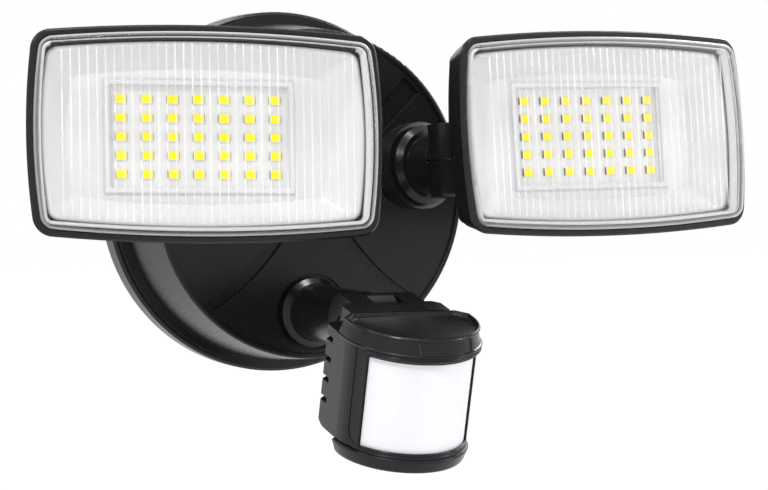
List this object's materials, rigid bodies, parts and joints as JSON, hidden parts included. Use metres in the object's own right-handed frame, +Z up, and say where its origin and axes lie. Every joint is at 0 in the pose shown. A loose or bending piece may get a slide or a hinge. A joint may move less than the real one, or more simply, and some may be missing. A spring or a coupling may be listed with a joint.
{
  "type": "motion sensor security light",
  "caption": "Wall-mounted security light with two swivelling rectangular LED flood heads and a tilting motion sensor on a round canopy.",
  "frame": {"origin": "centre of the crossbar's back face, in the plane of the wall", "axes": "+Z up, +Y into the wall, +X to the right of someone facing the light"},
  "size_m": [0.2601, 0.147, 0.1537],
  "materials": {
    "arm_black": "satin powder coat on cast aluminium",
    "canopy_black": "satin powder coat on pressed and cast aluminium",
    "head_black": "satin powder coat on cast aluminium",
    "seal_rubber": "matt black moulded rubber",
    "zinc_steel": "zinc-plated steel",
    "screw_black": "black-coated steel",
    "lens_clear": "clear moulded polycarbonate, fluted inside",
    "reflector_white": "white moulded plastic",
    "board_white": "white solder mask on an aluminium-backed board",
    "led_yellow": "yellow phosphor LED packages",
    "driver_grey": "potted plastic case",
    "sensor_black": "fine-textured moulded plastic",
    "sensor_lens_white": "translucent white moulded polyethylene",
    "board_green": "green solder mask",
    "cell_amber": "clear-coated light-dependent cell",
    "knob_grey": "moulded plastic"
  },
  "bodies": {
    "base": {"wall_gasket": "seal_rubber", "back_ring": "canopy_black", "canopy": "canopy_black", "canopy_plug": "seal_rubber", "crossbar": "zinc_steel", "fixing_screw": "zinc_steel", "led_driver": "driver_grey"},
    "left_swivel": {"left_arm": "arm_black", "left_arm_seal": "seal_rubber", "left_arm_nut": "zinc_steel", "left_knuckle_screw": "screw_black"},
    "left_head": {"left_housing": "head_black", "left_bezel": "head_black", "left_lens": "lens_clear", "left_lens_gasket": "seal_rubber", "left_reflector": "reflector_white", "left_led_board": "board_white", "left_led_chips": "led_yellow", "left_head_screws": "screw_black"},
    "right_swivel": {"right_arm": "arm_black", "right_arm_seal": "seal_rubber", "right_arm_nut": "zinc_steel", "right_knuckle_screw": "screw_black"},
    "right_head": {"right_housing": "head_black", "right_bezel": "head_black", "right_lens": "lens_clear", "right_lens_gasket": "seal_rubber", "right_reflector": "reflector_white", "right_led_board": "board_white", "right_led_chips": "led_yellow", "right_head_screws": "screw_black"},
    "sensor_swivel": {"sensor_arm": "sensor_black", "sensor_arm_seal": "seal_rubber", "sensor_arm_nut": "zinc_steel", "sensor_hinge_screw": "screw_black"},
    "sensor": {"sensor_rear_housing": "sensor_black", "sensor_front_housing": "sensor_black", "sensor_lens": "sensor_lens_white", "sensor_visor": "sensor_black", "sensor_cup": "sensor_black", "sensor_board": "board_green", "infrared_detector": "zinc_steel", "photocell": "cell_amber"},
    "time_knob": {"time_knob": "knob_grey"},
    "light_knob": {"light_knob": "knob_grey"},
    "range_knob": {"range_knob": "knob_grey"}
  },
  "joints": [
    {"name": "left_arm_swivel", "type": "hinge", "parent": "base", "child": "left_swivel", "pos_m": [-0.04, -0.0424, 0.0095], "axis": [-0.224, -0.97, 0.0941], "range_deg": [-60, 60]},
    {"name": "left_head_turn", "type": "hinge", "parent": "left_swivel", "child": "left_head", "pos_m": [-0.0462, -0.06927, 0.01211], "axis": [0.0212, 0.0917, 0.9956], "range_deg": [-60, 8]},
    {"name": "right_arm_swivel", "type": "hinge", "parent": "base", "child": "right_swivel", "pos_m": [0.04, -0.0424, 0.0095], "axis": [0.224, -0.97, 0.0941], "range_deg": [-60, 60]},
    {"name": "right_head_turn", "type": "hinge", "parent": "right_swivel", "child": "right_head", "pos_m": [0.0462, -0.06927, 0.01211], "axis": [-0.0212, 0.0917, 0.9956], "range_deg": [-8, 60]},
    {"name": "sensor_arm_swivel", "type": "hinge", "parent": "base", "child": "sensor_swivel", "pos_m": [0, -0.0955, -0.0416], "axis": [0, -1, 0], "range_deg": [-40, 40]},
    {"name": "sensor_tilt", "type": "hinge", "parent": "sensor_swivel", "child": "sensor", "pos_m": [0, -0.0955, -0.0416], "axis": [1, 0, 0], "range_deg": [-12, 35]},
    {"name": "time_knob_turn", "type": "hinge", "parent": "sensor", "child": "time_knob", "pos_m": [-0.011, -0.11711, -0.08402], "axis": [0, -0.2521, 0.9677], "range_deg": [-135, 135]},
    {"name": "light_knob_turn", "type": "hinge", "parent": "sensor", "child": "light_knob", "pos_m": [0, -0.11711, -0.08402], "axis": [0, -0.2521, 0.9677], "range_deg": [-135, 135]},
    {"name": "range_knob_turn", "type": "hinge", "parent": "sensor", "child": "range_knob", "pos_m": [0.011, -0.11711, -0.08402], "axis": [0, -0.2521, 0.9677], "range_deg": [-135, 135]}
  ]
}
